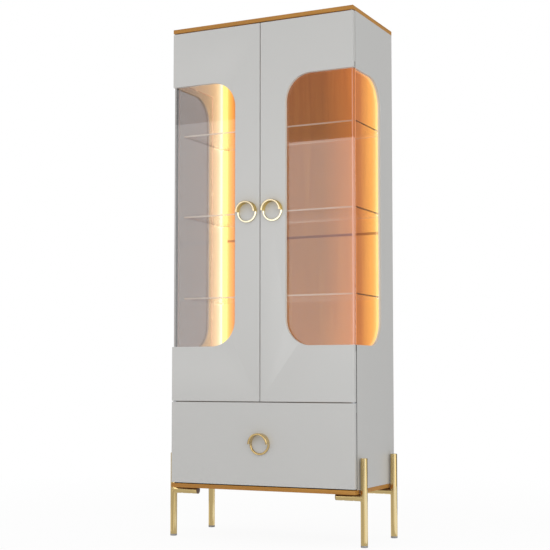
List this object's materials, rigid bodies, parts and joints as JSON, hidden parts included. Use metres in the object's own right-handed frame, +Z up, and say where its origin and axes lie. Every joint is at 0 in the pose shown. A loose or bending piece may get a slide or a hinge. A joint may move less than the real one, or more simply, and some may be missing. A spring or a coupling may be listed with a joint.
{
  "type": "glass display cabinet",
  "caption": "Tall display cabinet with glazed corner-window doors, glass shelves, lit rear corners, a deep drawer below and round tube legs standing beside the case.",
  "frame": {"origin": "on the floor, at the centre of the cabinet's footprint with its handles", "axes": "+Z up, -Y towards the front with the doors, +X to the right seen from the front"},
  "size_m": [0.8028, 0.413, 1.93],
  "materials": {
    "lacquer": "light warm grey satin lacquer on board",
    "timber": "amber oak-look board with visible grain",
    "inside": "light grey laminated board",
    "pane": "clear glass, faintly tinted",
    "gold": "polished champagne gold plating",
    "steel": "zinc-plated steel",
    "nylon": "natural nylon",
    "dark_plastic": "dark grey plastic",
    "light_metal": "anodised aluminium",
    "opal": "opal cover lit from inside by warm lights"
  },
  "bodies": {
    "carcass": {"top_panel": "timber", "base_panel": "timber", "divider_panel": "inside", "side_panel_left": "lacquer", "side_panel_right": "lacquer", "back_panel_upper": "timber", "back_panel_lower": "timber", "back_joint_strip": "dark_plastic", "cable_grommet": "dark_plastic", "side_glass_left": "pane", "side_glass_right": "pane", "side_glass_buttons": "nylon", "shelf_lower": "pane", "shelf_middle": "pane", "shelf_upper": "pane", "shelf_clamps_left": "steel", "shelf_clamps_right": "steel", "light_profiles": "light_metal", "light_tapes": "opal", "light_covers": "opal", "leg_front_left": "gold", "leg_front_right": "gold", "leg_rear_left": "gold", "leg_rear_right": "gold", "foot_glides": "dark_plastic", "cross_tube_plugs": "dark_plastic", "leg_screws": "steel", "top_pivot_bushes": "nylon", "pivot_bracket_left": "steel", "pivot_bracket_right": "steel", "magnetic_catch": "dark_plastic", "runner_outer_members": "steel"},
    "left_door": {"door_panel_left": "lacquer", "door_glass_left": "pane", "door_glass_buttons_left": "nylon", "door_handle_left": "gold", "door_handle_screws_left": "steel", "door_pivot_pin_left": "steel", "door_pivot_bush_left": "nylon", "door_strike_left": "steel"},
    "right_door": {"door_panel_right": "lacquer", "door_glass_right": "pane", "door_glass_buttons_right": "nylon", "door_handle_right": "gold", "door_handle_screws_right": "steel", "door_pivot_pin_right": "steel", "door_pivot_bush_right": "nylon", "door_strike_right": "steel"},
    "drawer": {"drawer_front": "lacquer", "drawer_side_left": "inside", "drawer_side_right": "inside", "drawer_inner_front": "inside", "drawer_back": "inside", "drawer_bottom": "inside", "drawer_handle": "gold", "drawer_handle_screws": "steel", "runner_inner_members": "steel"},
    "runner_middles": {"runner_middle_members": "steel", "runner_ball_cages": "nylon"}
  },
  "joints": [
    {"name": "left_door_hinge", "type": "hinge", "parent": "carcass", "child": "left_door", "pos_m": [-0.3635, -0.1725, 0.509], "axis": [0, 0, -1], "range_deg": [0, 105]},
    {"name": "right_door_hinge", "type": "hinge", "parent": "carcass", "child": "right_door", "pos_m": [0.3635, -0.1725, 0.509], "axis": [0, 0, 1], "range_deg": [0, 105]},
    {"name": "drawer_slide", "type": "slide", "parent": "carcass", "child": "drawer", "axis": [0, -1, 0], "range_m": [0, 0.3]},
    {"name": "runner_slide", "type": "slide", "parent": "carcass", "child": "runner_middles", "axis": [0, -1, 0], "range_m": [0, 0.15]}
  ],
  "couplings": [
    {"joint": "runner_slide", "follows": "drawer_slide", "ratio": 0.5}
  ]
}
